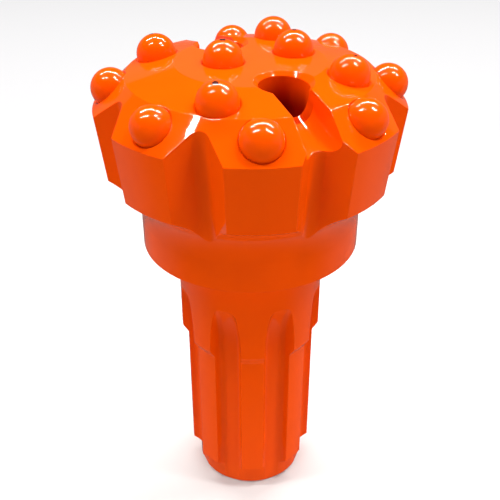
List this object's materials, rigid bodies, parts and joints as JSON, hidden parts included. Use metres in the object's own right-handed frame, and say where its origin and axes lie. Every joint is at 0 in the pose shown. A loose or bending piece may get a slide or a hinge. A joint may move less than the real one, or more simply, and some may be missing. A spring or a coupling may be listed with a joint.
{
  "type": "button drill bit",
  "caption": "Down-the-hole hammer bit with a splined shank, a fluted head with two flushing holes, and domed buttons pressed into the face and the gauge.",
  "frame": {"origin": "centre of the struck end of the shank, on the bit axis", "axes": "+Z along the bit axis from the struck end towards the rock face, -Y towards the front pad"},
  "size_m": [0.1103, 0.1101, 0.1902],
  "materials": {
    "body_enamel": "glossy sprayed enamel over machined steel",
    "button_enamel": "the same glossy enamel over polished carbide, rubbed through at the tips of the face buttons"
  },
  "bodies": {
    "root": {"bit_body": "body_enamel", "gauge_button_1": "button_enamel", "gauge_button_2": "button_enamel", "gauge_button_3": "button_enamel", "gauge_button_4": "button_enamel", "gauge_button_5": "button_enamel", "gauge_button_6": "button_enamel", "gauge_button_7": "button_enamel", "gauge_button_8": "button_enamel", "face_button_1": "button_enamel", "face_button_2": "button_enamel", "face_button_3": "button_enamel", "face_button_4": "button_enamel", "face_button_5": "button_enamel", "face_button_6": "button_enamel"}
  },
  "joints": []
}
